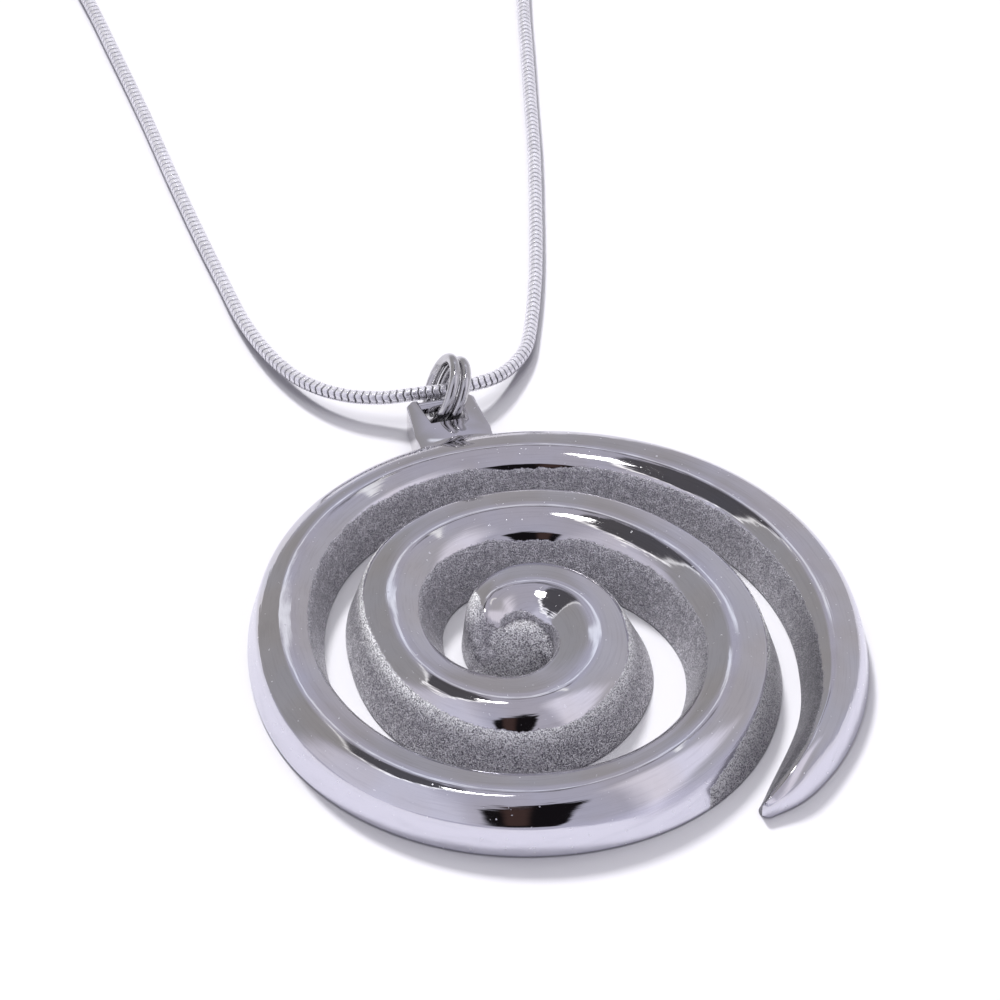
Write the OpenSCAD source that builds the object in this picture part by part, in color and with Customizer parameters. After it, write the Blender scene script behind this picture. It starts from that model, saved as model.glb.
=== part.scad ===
// Spiral disc pendant of cast steel on two jump rings and a snake chain, laid flat.
// Millimetres, +Z up. The origin is on the pendant's back, at the centre of its outline,
// +Y points from there to the chain and the lug, and +X to the right.

/* [Spiral band] */
// Width of the pendant over its outer turn
pendant_width = 50; // [48:0.5:52]
// Height of the band's crest where it is thickest
crest_height = 4.9; // [4.6:0.1:5.1]
// Degrees round the spiral from one section to the next
section_step = 6; // [3:3:12]

/* [Lug] */
// Height of the lug over the back
lug_height = 2.8; // [2.7:0.05:2.9]
// Width of the lug at its far end
lug_width = 5.9; // [5.7:0.1:6.1]
// Width of the lug's hole, along the crossbar
hole_width = 3.4; // [3.3:0.05:3.5]
// Thickness of the crossbar, along and across
bar_thickness = 0.9; // [0.8:0.05:0.95]

/* [Jump rings] */
// Radius of the centreline of a jump ring
jump_ring_radius = 2.75; // [2.7:0.05:2.8]
// Thickness of the wire of a jump ring
jump_ring_wire = 0.9; // [0.8:0.05:0.95]
// Degrees that the jump rings lean to the right
jump_ring_lean = 25; // [24:1:26]

/* [Chain] */
// Thickness of the snake chain
chain_width = 1.2; // [1:0.1:1.2]

/* [Clasp] */
// Length of an end cap
cap_length = 4; // [3.5:0.5:5]
// Thickness of an end cap
cap_width = 1.9; // [1.8:0.1:2.1]
// Thickness of the clasp's barrel
barrel_width = 2.3; // [2.1:0.1:2.3]
// Radius of the centreline of a small ring
small_ring_radius = 1.6; // [1.5:0.05:1.7]
// Thickness of the wire of a small ring
small_ring_wire = 0.7; // [0.6:0.05:0.75]

/* [Hidden] */

// The spiral turns clockwise from its inner end, seen from above, round this pole.
POLE = [-2.05, -2.65];
last_angle = 942;
plan_scale = pendant_width / 50;
height_scale = crest_height / 4.9;

// Angle from the inner end, radius of the band's middle, width of its back
PLAN = [
    [0, 3.33, 3.25],
    [45, 4.4, 5.25],
    [90, 5.2, 7.55],
    [135, 5.35, 8],
    [180, 5.45, 8.35],
    [225, 6.35, 8.7],
    [270, 8.15, 9],
    [315, 9.3, 8.6],
    [360, 10.7, 7.85],
    [405, 13.25, 8.45],
    [450, 13.9, 8.55],
    [495, 14.35, 8.35],
    [540, 15.95, 7.85],
    [585, 17.25, 7.55],
    [630, 17.6, 7.1],
    [675, 18.45, 6.95],
    [720, 19.7, 6.3],
    [765, 22.1, 6.55],
    [810, 23, 6.95],
    [855, 23.7, 7.1],
    [900, 24.1, 5.85],
    [915, 24.3, 5],
    [928, 24.3, 4.25],
    [936, 24.35, 3.2],
    [942, 24.3, 1.45]
];

// Angle, height and inset of the outer edge, height of the crest, the crest's share
// of the way from the outer edge to the inner one, height and inset of the inner edge
PROFILE = [
    [0, 1.8, 0.3, 2.3, 0.5, 2, 0.5],
    [20, 3.6, 0.35, 4.25, 0.46, 3.3, 0.6],
    [50, 4.1, 0.5, 4.8, 0.42, 3.35, 0.5],
    [90, 4.05, 0.75, 4.8, 0.47, 3.4, 0.2],
    [180, 3.65, 1.95, 4.75, 0.45, 3.75, 0.65],
    [270, 3.45, 1.7, 4.75, 0.43, 4, 1.15],
    [360, 3.9, 1.45, 4.85, 0.49, 3.85, 1.7],
    [450, 4.1, 1, 4.85, 0.51, 3.65, 1.8],
    [540, 3.7, 1.2, 4.65, 0.54, 3.55, 1.45],
    [630, 2.9, 0.5, 4.3, 0.48, 3.5, 1.15],
    [720, 2.9, 0.65, 4.1, 0.53, 3.45, 1.1],
    [810, 3, 0.6, 3.9, 0.58, 3.2, 1.25],
    [900, 2.8, 0.6, 3.6, 0.66, 2.9, 1.2],
    [920, 2.1, 0.7, 3.3, 0.6, 2.65, 1.25],
    [932, 1.9, 0.75, 2.8, 0.5, 2.2, 1.2],
    [942, 1, 0.3, 1.4, 0.5, 1.1, 0.45]
];

// The band's two ends are rounded off over these lengths, through sections at these
// quarter-circle angles, and their tips drop to this share of the band's height.
nose_length = 0.8;
tail_length = 0.5;
END_ANGLES = [25, 50, 70, 84];
tip_height = 0.72;

// The inner end runs down into the middle of the spiral as one slope: corners of its top
// and of its foot, from the pole, as [across, along, up]
CORE = [
    [-4.35, 0.9, 2.9],
    [-3.4, 0.85, 3.45],
    [-1, 0.9, 3.45],
    [0.5, 1.15, 3.35],
    [-3.7, 2.8, 3.4],
    [0.3, 2.8, 3.3],
    [-4.8, 1.6, 0],
    [-4.95, 0.2, 0],
    [-4.8, -0.9, 0],
    [-4.1, -1.85, 0],
    [-2.8, -2.3, 0],
    [-1.3, -2.25, 0],
    [0.2, -1.85, 0],
    [1.5, -1, 0],
    [1.4, 0.6, 0],
    [0.3, 2.8, 0]
];

// The lug's frame has +X pointing out from the pole at this angle.
lug_angle = 104.5;
lug_root = 25.2;
lug_foot = 26.2;
lug_foot_width = 6.4;
lug_end = 31.3;
lug_corner = 0.6;
hole_start = 27.5;
hole_end = 29.9;
hole_side = 0.07;
bar_start = 30.2;
bar_top = 2.75;
bar_chamfer = 0.25;

// Middle of the pair of jump rings in the lug's frame, their turn about Z, and the
// distance from one ring to the other along their common axis
JUMP_RINGS_AT = [31.3, -0.72, 3.17];
jump_ring_turn = -8.3;
jump_ring_pitch = 1;

// The chain's route from the left end cap, down the left side, through the jump rings
// and up the right side to the right end cap
ROUTE = [
    [-44.5, 219, 1.3],
    [-47, 219, 1.3],
    [-51.5, 218.2, 1.1],
    [-56.5, 216, 0.8],
    [-61, 212.4, 0.6],
    [-65, 206.6, 0.6],
    [-67.6, 199, 0.6],
    [-69, 189, 0.6],
    [-69.2, 177, 0.6],
    [-68.2, 164, 0.6],
    [-65.8, 151, 0.6],
    [-62.4, 138, 0.6],
    [-58.2, 125, 0.6],
    [-53.4, 112, 0.6],
    [-48.4, 100, 0.6],
    [-43.5, 87.7, 0.6],
    [-40.4, 79, 0.6],
    [-37.1, 69.5, 0.6],
    [-34, 60, 0.6],
    [-31.1, 51.5, 0.6],
    [-29, 45.7, 0.6],
    [-27.1, 40.4, 0.75],
    [-25, 36, 1],
    [-22.6, 32.5, 1.2],
    [-20.1, 30.2, 1.5],
    [-17.4, 28.9, 1.75],
    [-14.7, 28.4, 2],
    [-12.7, 28.3, 2.35],
    [-11, 28.5, 2.45],
    [-9.3, 28.9, 2.4],
    [-7.9, 29.6, 2.2],
    [-6.6, 30.3, 2],
    [-5.4, 31.2, 1.7],
    [-4.3, 32.5, 1.35],
    [-3.2, 34.4, 1],
    [-2.4, 36.6, 0.75],
    [-2, 39.6, 0.6],
    [-1.7, 43.5, 0.6],
    [-1.5, 49, 0.6],
    [-1.5, 57, 0.6],
    [-1.6, 64.5, 0.6],
    [-1.9, 72, 0.6],
    [-2.2, 80, 0.6],
    [-2.5, 87.5, 0.6],
    [-2.6, 100, 0.6],
    [-1.9, 113, 0.6],
    [-0.6, 126, 0.6],
    [0.8, 139, 0.6],
    [2, 152, 0.6],
    [2.6, 165, 0.6],
    [2.4, 178, 0.6],
    [1, 191, 0.6],
    [-1.8, 201, 0.6],
    [-6, 209, 0.6],
    [-11, 214.8, 0.8],
    [-16.4, 218.2, 1.1],
    [-21, 219, 1.3],
    [-23.5, 219, 1.3]
];
tube_sides = 8;
tube_ring_gap = 8;

// Soldered eyes on the end caps and the clasp: radius and thickness of their wire
eye_radius = 0.95;
eye_wire = 0.6;
cap_bore = 1.4;
cap_bore_depth = 2.6;
chain_end_gap = 0.15;
barrel_round = 0.5;

first_end = ROUTE[0];
last_end = ROUTE[len(ROUTE) - 1];
// Reach from a chain's end to the cap's closed end, then to the eye, ring and clasp
cap_reach = chain_end_gap + cap_length - cap_bore_depth;
eye_reach = cap_reach + eye_radius;
ring_reach = eye_reach + small_ring_radius;
clasp_eye_reach = ring_reach + small_ring_radius;
barrel_reach = clasp_eye_reach + eye_radius;

// Smooth curve through one column of a table, by its first column
function row_before(t, x) = max([for (i = [0 : len(t) - 2]) if (x >= t[i][0]) i]);
function slope(t, i, c) =
    let (a = max(i - 1, 0), b = min(i + 1, len(t) - 1))
    (t[b][c] - t[a][c]) / (t[b][0] - t[a][0]);
function column(t, x, c) =
    let (i = row_before(t, x), h = t[i + 1][0] - t[i][0], u = (x - t[i][0]) / h)
    (1 + 2 * u) * pow(1 - u, 2) * t[i][c] + u * pow(1 - u, 2) * h * slope(t, i, c)
    + u * u * (3 - 2 * u) * t[i + 1][c] + u * u * (u - 1) * h * slope(t, i + 1, c);

// Middle of the band, and its direction of travel, at an angle from the inner end
function middle(a) = POLE + plan_scale * column(PLAN, a, 1) * [cos(180 - a), sin(180 - a)];
function unit(v) = v / norm(v);
function travel(a) = unit(middle(min(a + 0.5, last_angle)) - middle(max(a - 0.5, 0)));

// Section of the band at an angle, as [outward, up] points from the outer foot over the
// crest to the inner foot. It is drawn in across by k and down by h at the band's ends.
function section(a, k, h) =
    let (
        s = plan_scale * k,
        z = height_scale * h,
        w = s * column(PLAN, a, 2),
        outer = [w / 2 - s * column(PROFILE, a, 2), z * column(PROFILE, a, 1)],
        inner = [-w / 2 + s * column(PROFILE, a, 6), z * column(PROFILE, a, 5)],
        crest = [outer.x + column(PROFILE, a, 4) * (inner.x - outer.x), z * column(PROFILE, a, 3)]
    )
    concat(
        [[w / 2, 0], outer],
        [for (u = [1 / 3, 2 / 3, 1])
            [outer.x + (crest.x - outer.x) * u, outer.y + (crest.y - outer.y) * (1 - pow(1 - u, 2))]],
        [for (u = [1 / 3, 2 / 3, 1])
            [crest.x + (inner.x - crest.x) * u, inner.y + (crest.y - inner.y) * (1 - u * u)]],
        [[-w / 2, 0]]
    );

// The section in place, moved on along the band's direction by ahead
function placed(a, ahead, k, h) =
    let (m = middle(a), t = travel(a))
    [for (p = section(a, k, h))
        [m.x + t.x * ahead - t.y * p.x, m.y + t.y * ahead + t.x * p.x, p.y]];
function end_height(e) = tip_height + (1 - tip_height) * cos(e);

// Triangles of a skin over rings of n points each, with both ends closed. The points of a
// ring run clockwise, seen along the way from the first ring to the last one.
function skin(rings, n) = concat(
    [for (i = [0 : rings - 2], j = [0 : n - 1]) [i * n + j, (i + 1) * n + j, i * n + (j + 1) % n]],
    [for (i = [0 : rings - 2], j = [0 : n - 1])
        [i * n + (j + 1) % n, (i + 1) * n + j, (i + 1) * n + (j + 1) % n]],
    [for (j = [1 : n - 2]) [0, j, j + 1]],
    [for (j = [1 : n - 2]) (rings - 1) * n * [1, 1, 1] + [0, j + 1, j]]
);
function flat(lists) = [for (l = lists, p = l) p];

module band() {
    ends = len(END_ANGLES);
    rings = concat(
        [for (i = [ends - 1 : -1 : 0])
            let (e = END_ANGLES[i]) placed(0, -nose_length * sin(e), cos(e), end_height(e))],
        [for (a = [0 : section_step : last_angle]) placed(a, 0, 1, 1)],
        [for (e = END_ANGLES) placed(last_angle, tail_length * sin(e), cos(e), end_height(e))]
    );
    polyhedron(points = flat(rings), faces = skin(len(rings), len(rings[0])));
}

module core() {
    hull()
        for (p = CORE)
            translate([POLE.x + plan_scale * p.x, POLE.y + plan_scale * p.y, 0])
                linear_extrude(height = max(height_scale * p.z, 0.05))
                    square(0.02, center = true);
}

// Everything at the lug is drawn in its frame, with +X outward and +Y to the left.
module in_lug_frame() {
    translate([POLE.x, POLE.y, 0])
        rotate([0, 0, lug_angle])
            children();
}

module lug_outline() {
    polygon([
        [lug_root, -lug_foot_width / 2],
        [lug_foot, -lug_foot_width / 2],
        [lug_end - lug_corner, -lug_width / 2],
        [lug_end, -lug_width / 2 + lug_corner],
        [lug_end, lug_width / 2 - lug_corner],
        [lug_end - lug_corner, lug_width / 2],
        [lug_foot, lug_foot_width / 2],
        [lug_root, lug_foot_width / 2]
    ]);
}

module crossbar() {
    c = bar_chamfer;
    t = bar_thickness;
    translate([bar_start, hole_width / 2 + hole_side + c, bar_top - t])
        rotate([90, 0, 0])
            linear_extrude(height = hole_width + 2 * c)
                polygon([[c, 0], [t - c, 0], [t, c], [t, t - c], [t - c, t], [c, t], [0, t - c], [0, c]]);
}

module lug() {
    difference() {
        linear_extrude(height = lug_height)
            lug_outline();
        translate([hole_start, hole_side - hole_width / 2, -1])
            cube([lug_end - hole_start + 1, hole_width, lug_height + 2]);
    }
    crossbar();
}

module spiral_pendant() {
    color("silver")
        union() {
            band();
            core();
            in_lug_frame()
                lug();
        }
}

module wire_ring(radius, wire) {
    rotate_extrude()
        translate([radius, 0])
            circle(d = wire, $fn = 24);
}

// Side is 1 for the left ring and -1 for the right one.
module jump_ring(side) {
    color("gainsboro")
        in_lug_frame()
            translate(JUMP_RINGS_AT)
                rotate([0, 0, jump_ring_turn])
                    rotate([jump_ring_lean, 0, 0])
                        translate([0, side * jump_ring_pitch / 2, 0])
                            rotate([90, 0, 0])
                                wire_ring(jump_ring_radius, jump_ring_wire);
}

module jump_ring_left() {
    jump_ring(1);
}

module jump_ring_right() {
    jump_ring(-1);
}

// Points along the route, with enough of them between two of its own on long stretches
function way(i) =
    let (a = max(i - 1, 0), b = min(i + 1, len(ROUTE) - 1))
    (ROUTE[b] - ROUTE[a]) / (b - a);
function on_route(i, u) =
    (1 + 2 * u) * pow(1 - u, 2) * ROUTE[i] + u * pow(1 - u, 2) * way(i)
    + u * u * (3 - 2 * u) * ROUTE[i + 1] + u * u * (u - 1) * way(i + 1);

module chain() {
    spots = concat(
        [for (i = [0 : len(ROUTE) - 2])
            let (n = ceil(norm(ROUTE[i + 1] - ROUTE[i]) / tube_ring_gap))
            for (k = [0 : n - 1]) on_route(i, k / n)],
        [last_end]
    );
    rings = [for (i = [0 : len(spots) - 1])
        let (
            t = unit(spots[min(i + 1, len(spots) - 1)] - spots[max(i - 1, 0)]),
            side = unit(cross(t, [0, 0, 1])),
            up = cross(side, t)
        )
        [for (k = [0 : tube_sides - 1])
            let (a = (k + 0.5) * 360 / tube_sides)
            spots[i] + chain_width / 2 * (cos(a) * side - sin(a) * up)]];
    color("darkgray")
        polyhedron(points = flat(rings), faces = skin(len(rings), tube_sides));
}

// An upright eye with its hole across the line of the clasp
module eye() {
    rotate([90, 0, 0])
        wire_ring(eye_radius, eye_wire);
}

// Dir is 1 for the cap that the clasp lies to the right of, and -1 for the other one.
module end_cap(at, dir) {
    color("silver")
        translate(at)
            rotate([0, 0, dir > 0 ? 0 : 180]) {
                difference() {
                    translate([cap_reach - cap_length, 0, 0])
                        rotate([0, 90, 0])
                            cylinder(h = cap_length, d = cap_width, $fn = 48);
                    translate([cap_reach - cap_length - 1, 0, 0])
                        rotate([0, 90, 0])
                            cylinder(h = cap_bore_depth + 1, d = cap_bore, $fn = 48);
                }
                translate([eye_reach, 0, 0])
                    eye();
            }
}

module end_cap_left() {
    end_cap(first_end, 1);
}

module end_cap_right() {
    end_cap(last_end, -1);
}

module clasp_ring_left() {
    color("gainsboro")
        translate(first_end + [ring_reach, 0, 0])
            wire_ring(small_ring_radius, small_ring_wire);
}

module clasp_ring_right() {
    color("gainsboro")
        translate(last_end - [ring_reach, 0, 0])
            wire_ring(small_ring_radius, small_ring_wire);
}

// One plain barrel with an eye at each end
module clasp() {
    length = last_end.x - first_end.x - 2 * barrel_reach;
    r = barrel_width / 2;
    c = barrel_round;
    color("silver")
        translate(first_end + [barrel_reach, 0, 0]) {
            rotate([0, 90, 0])
                rotate_extrude()
                    polygon([[0, 0], [r - c, 0], [r, c], [r, length - c], [r - c, length], [0, length]]);
            translate([-eye_radius, 0, 0])
                eye();
            translate([length + eye_radius, 0, 0])
                eye();
        }
}

spiral_pendant();
jump_ring_left();
jump_ring_right();
chain();
end_cap_left();
end_cap_right();
clasp_ring_left();
clasp_ring_right();
clasp();
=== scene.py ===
"""Dresses the spiral pendant necklace: the cast pendant, its jump rings, the snake chain and the clasp."""
import math

import bmesh
import bpy
from bpy.props import FloatProperty, FloatVectorProperty, PointerProperty
from bpy.types import Operator, Panel, PropertyGroup
from mathutils import Matrix, Vector


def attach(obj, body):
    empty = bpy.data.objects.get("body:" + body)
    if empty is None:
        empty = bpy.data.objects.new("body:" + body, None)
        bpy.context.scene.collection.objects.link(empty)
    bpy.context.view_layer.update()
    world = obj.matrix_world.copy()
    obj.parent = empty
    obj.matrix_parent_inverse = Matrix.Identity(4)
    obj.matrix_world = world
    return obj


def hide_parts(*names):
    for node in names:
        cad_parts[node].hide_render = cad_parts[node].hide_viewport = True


bl_info = {
    "name": "Spiral Pendant Necklace",
    "version": (1, 0, 0),
    "blender": (4, 5, 0),
    "location": "View3D > Sidebar > Necklace",
    "description": "Makes a cast spiral pendant with its jump rings, snake chain and clasp",
    "category": "Add Mesh",
}

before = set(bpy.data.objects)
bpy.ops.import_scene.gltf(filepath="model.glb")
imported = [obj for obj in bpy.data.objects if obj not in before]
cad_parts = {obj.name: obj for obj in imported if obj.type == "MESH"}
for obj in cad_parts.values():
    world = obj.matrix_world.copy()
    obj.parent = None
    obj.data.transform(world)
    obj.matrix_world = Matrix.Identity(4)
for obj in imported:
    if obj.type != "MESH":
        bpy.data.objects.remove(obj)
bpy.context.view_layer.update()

# Sizes in this file are in millimetres, as in part.scad, and meshes are made in metres.
MM = 0.001

# Pole of the spiral, which turns clockwise from its inner end, seen from above
POLE = (-2.05, -2.65)
LAST_ANGLE = 942

# Angle from the inner end, radius of the band's middle, width of its back
PLAN = [
    (0, 3.33, 3.25), (45, 4.4, 5.25), (90, 5.2, 7.55), (135, 5.35, 8), (180, 5.45, 8.35),
    (225, 6.35, 8.7), (270, 8.15, 9), (315, 9.3, 8.6), (360, 10.7, 7.85), (405, 13.25, 8.45),
    (450, 13.9, 8.55), (495, 14.35, 8.35), (540, 15.95, 7.85), (585, 17.25, 7.55), (630, 17.6, 7.1),
    (675, 18.45, 6.95), (720, 19.7, 6.3), (765, 22.1, 6.55), (810, 23, 6.95), (855, 23.7, 7.1),
    (900, 24.1, 5.85), (915, 24.3, 5), (928, 24.3, 4.25), (936, 24.35, 3.2), (942, 24.3, 1.45),
]

# Angle, height and inset of the outer edge, height of the crest, the crest's share of the
# way from the outer edge to the inner one, height and inset of the inner edge
PROFILE = [
    (0, 1.8, 0.3, 2.3, 0.5, 2, 0.5), (20, 3.6, 0.35, 4.25, 0.46, 3.5, 0.6),
    (50, 4.1, 0.5, 4.8, 0.42, 3.7, 0.5), (90, 4.05, 0.75, 4.8, 0.47, 3.55, 0.2),
    (180, 3.65, 1.95, 4.75, 0.45, 3.75, 0.65), (270, 3.15, 1.65, 4.85, 0.43, 4, 1.15),
    (360, 3.9, 1.45, 4.85, 0.49, 3.85, 1.7), (450, 4.1, 1, 4.85, 0.51, 3.65, 1.8),
    (540, 3.7, 1.2, 4.65, 0.54, 3.55, 1.45), (588, 2.75, 1.3, 4.4, 0.5, 3.5, 1.3),
    (630, 2.55, 0.65, 4.15, 0.45, 3.45, 1.15), (720, 2.8, 0.8, 4.1, 0.47, 3.45, 1.1),
    (810, 3, 0.75, 3.9, 0.58, 3.2, 1.25), (900, 2.8, 0.6, 3.6, 0.66, 2.9, 1.2),
    (920, 2.1, 0.7, 3.3, 0.6, 2.65, 1.25), (932, 1.9, 0.75, 2.8, 0.5, 2.2, 1.2),
    (942, 1, 0.3, 1.4, 0.5, 1.1, 0.45),
]

# Angle, how far the outer and the inner edge are rounded off along each face
ROUNDING = [
    (0, 0.45, 0.35), (90, 0.4, 0.35), (180, 0.45, 0.35), (270, 0.8, 0.35), (345, 0.8, 0.45),
    (450, 0.6, 0.7), (540, 0.5, 0.6), (560, 0.8, 0.6), (580, 1.5, 0.55), (598, 1.4, 0.5),
    (615, 0.5, 0.5), (630, 0.22, 0.45), (720, 0.22, 0.5), (750, 0.45, 0.6), (810, 0.6, 0.6),
    (870, 0.9, 0.5), (900, 1.3, 0.4), (932, 1.2, 0.35), (942, 0.4, 0.3),
]

# Angle, and where the blasting stops on the outer and the inner side: millimetres up
# over the edge on to the domed top, or down the wall where negative
BLAST = [
    (0, 0.1, 0.5), (50, 0.1, 0.65), (90, 0.1, 0.4), (130, 0.1, 0.1), (180, 0.1, 0.1),
    (270, 0.35, 0.2), (290, 0.45, 0.2), (325, 0.7, 0.25), (350, 0.55, 0.3), (380, 0.1, 0.3),
    (432, 0.1, 0.3), (440, 0.1, -0.15), (460, 0.1, -0.15), (468, 0.1, 0.3), (530, 0.1, 0.3),
    (560, -0.1, 0.3), (577, -0.5, 0.2), (588, -1.4, 0.1), (598, -9, 0.1), (630, -9, 0.1),
    (720, -9, 0.2), (796, -9, 0.3), (803, -9, -0.15), (815, -9, -0.15), (822, -9, 0.3),
    (890, -9, 0.3), (912, -9, 0.7), (928, -9, 1.0), (936, -9, 0.7), (942, -9, 0.2),
]

# Height of the crest that PROFILE is drawn for
DRAWN_CREST = 4.9

# The band's two ends are rounded off over these lengths, and their tips drop to this
# share of the band's height.
NOSE_LENGTH = 0.8
TAIL_LENGTH = 0.5
END_ANGLES = [9, 18, 27, 36, 45, 54, 62, 69, 75, 80, 84, 87]
TIP_HEIGHT = 0.72

# How far the band's foot is rounded off under its walls
FOOT_ROUND = 0.25

# Share of the rounding that is left at the very tips of the band
TIP_ROUNDING = 0.3

# Points of the band's section on each side: round the foot, up the wall, round the edge and
# over the top
FOOT_POINTS = 5
WALL_POINTS = 7
EDGE_POINTS = 7
TOP_POINTS = 13

# Shine of what is polished all over, and of what is blasted all over
POLISHED = 2.0
BLASTED = -1.0

# The top's two flanks fall away from the crest as this power of the way to their edges, and
# the crest itself is rounded over this share of that way.
DOME_POWER = 1.6
CREST_ROUND = 0.2

# The inner end runs down into the middle of the spiral as one slope: corners of its top and
# of its foot, from the pole. Left and above of NOSE_LINE it is blasted, to its tip.
CORE = [
    (-4.35, 0.9, 2.9), (-3.4, 0.85, 3.45), (-1, 0.9, 3.45), (0.5, 1.15, 3.35), (-3.7, 2.8, 3.4),
    (0.3, 2.8, 3.3), (-4.8, 1.6, 0), (-4.95, 0.2, 0), (-4.8, -0.9, 0), (-4.1, -1.85, 0),
    (-2.8, -2.3, 0), (-1.3, -2.25, 0), (0.2, -1.85, 0), (1.5, -1, 0), (1.4, 0.6, 0),
    (0.3, 2.8, 0), (1.8, 0.4, 2.4), (1.7, -0.7, 1.7), (0.9, 2.4, 3.1),
]
CORE_ROUND = 0.3
NOSE_LINE = [(-4.5, 4.3), (-3.7, 1.1), (-2.4, 1.0), (0, 1.0)]

# The line bounds the blasting up to this angle.
NOSE_END = 60

# The lug's frame has +X pointing out from the pole at this angle.
LUG_ANGLE = 104.5
LUG_ROOT = 25.2
LUG_FOOT = 26.2
LUG_FOOT_WIDTH = 6.4
LUG_END = 31.3
LUG_CORNER = 0.6
LUG_ROUND = 0.28
LUG_FALL = 0.06
HOLE_START = 27.5
HOLE_SIDE = 0.07
BAR_START = 30.2
BAR_TOP = 2.75

# The crossbar's section is a square as round as this power makes it, and it swells by a share
# where it meets the lug.
BAR_POWER = 3.2
BAR_SWELL = 0.22

# The hollow by the lug reaches this many degrees to each side of it, and starts at this share of
# the way from the band's outer edge to the crest.
HOLLOW_HALF_ANGLE = 6.5
HOLLOW_START = 0.25

# Middle of the pair of jump rings in the lug's frame, and their turn about Z
JUMP_RINGS_AT = (31.3, -0.72, 3.17)
JUMP_RING_TURN = -8.3

# The route's points repeated from part.scad, from the left end cap down the left side,
# through the jump rings and up the right side to the right end cap
ROUTE = [
    (-44.5, 219, 1.3), (-47, 219, 1.3), (-51.5, 218.2, 1.1), (-56.5, 216, 0.8), (-61, 212.4, 0.6),
    (-65, 206.6, 0.6), (-67.6, 199, 0.6), (-69, 189, 0.6), (-69.2, 177, 0.6), (-68.2, 164, 0.6),
    (-65.8, 151, 0.6), (-62.4, 138, 0.6), (-58.2, 125, 0.6), (-53.4, 112, 0.6), (-48.4, 100, 0.6),
    (-43.5, 87.7, 0.6), (-40.4, 79, 0.6), (-37.1, 69.5, 0.6), (-34, 60, 0.6), (-31.1, 51.5, 0.6),
    (-29, 45.7, 0.6), (-27.1, 40.4, 0.75), (-25, 36, 1), (-22.6, 32.5, 1.2), (-20.1, 30.2, 1.5),
    (-17.4, 28.9, 1.75), (-14.7, 28.4, 2), (-12.7, 28.3, 2.35), (-11, 28.5, 2.45), (-9.3, 28.9, 2.4),
    (-7.9, 29.6, 2.2), (-6.6, 30.3, 2), (-5.4, 31.2, 1.7), (-4.3, 32.5, 1.35), (-3.2, 34.4, 1),
    (-2.4, 36.6, 0.75), (-2, 39.6, 0.6), (-1.7, 43.5, 0.6), (-1.5, 49, 0.6), (-1.5, 57, 0.6),
    (-1.6, 64.5, 0.6), (-1.9, 72, 0.6), (-2.2, 80, 0.6), (-2.5, 87.5, 0.6), (-2.6, 100, 0.6),
    (-1.9, 113, 0.6), (-0.6, 126, 0.6), (0.8, 139, 0.6), (2, 152, 0.6), (2.6, 165, 0.6),
    (2.4, 178, 0.6), (1, 191, 0.6), (-1.8, 201, 0.6), (-6, 209, 0.6), (-11, 214.8, 0.8),
    (-16.4, 218.2, 1.1), (-21, 219, 1.3), (-23.5, 219, 1.3),
]

# Clasp sizes that no user changes: the eyes' radius and wire, and the caps' bore
EYE_RADIUS = 0.95
EYE_WIRE = 0.6
CAP_BORE = 1.4
CAP_BORE_DEPTH = 2.6
CHAIN_END_GAP = 0.15

# Fewer faces than this mean that the chain's links were not made.
LEAST_CHAIN_FACES = 1000

# The floor lies this far under the pendant's back and reaches this far each way.
FLOOR_DROP = 0.02
FLOOR_REACH = 4000

# Where the two lamps' light comes from, and how large the fill light looks, in degrees
KEY_FROM = (-0.248, 0.731, 0.636)
FILL_FROM = (-0.1, 0.42, 0.9)
FILL_SIZE = 50

# What the camera aims at, in the middle of the picture
AIM = (-4.675, 17.6, 0)


# What the polished steel mirrors. Places are degrees from straight up, as (right, away from
# the camera): a kind, a colour, its strength, how soft its border is, corners or a path's
# points, and a path's width. Later ones lie over earlier ones.
STUDIO = [
    ("card", "#DCDAE2", 0.86, 26, [(18, 80), (20, -5), (80, -30), (80, 80)], 0),
    ("card", "#E3E0EC", 1.4, 14, [(9, 4), (20, -8), (22, -60), (70, -60), (60, 14)], 0),
    ("card", "#C6C4C6", 0.80, 20, [(-80, 80), (-80, 6), (-13, 6), (-13, 80)], 0),
    ("card", "#C4C2C8", 0.9, 12, [(-12, 60), (-12, 120), (14, 120), (14, 60)], 0),
    ("card", "#2C282C", 0.4, 3, [(-12, -17), (-13, -66), (17, -66), (18, -17), (8, -21)], 0),
    ("card", "#6B5450", 0.5, 4, [(-6, -26), (-6, -50), (2, -50), (2, -26)], 0),
    ("path", "#F2F5FF", 1.4, 3, [(-14, 47.5), (14, 48.5)], 2.6),
    ("path", "#8E8C92", 0.7, 3, [(-7, 38), (0, 40), (8, 38)], 3),
    ("card", "#E4E2F0", 1.1, 14, [(-18, 2), (-18, -60), (-75, -60), (-75, 8)], 0),
    ("card", "#85838A", 0.5, 1.2,
     [(-29, 14), (-19, 25.5), (-8, 38), (-3, 36), (-6, 18), (-10, 8), (-16, 2), (-24, 2)], 0),
    ("path", "#FFFFFF", 1.9, 1.2, [(-32, 13), (-26, 1), (-16, 0.5), (-9, 7), (-6, 13)], 1.7),
    ("path", "#FFFFFF", 1.3, 1, [(-30, 14), (-19, 27), (-8, 40)], 0.9),
    ("path", "#FFFFFF", 1.3, 1, [(6, 38), (12, 30), (20, 21)], 1.4),
    ("path", "#FFFFFF", 24, 2, [(-7.5, 12), (-4.5, 12)], 4),
]


def linear(code):
    """Turns an sRGB hex colour such as "#C8C8CC" into the linear RGBA that Blender works in."""
    parts = [int(code[i:i + 2], 16) / 255 for i in (1, 3, 5)]
    return [p / 12.92 if p <= 0.04045 else ((p + 0.055) / 1.055) ** 2.4 for p in parts] + [1]


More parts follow.
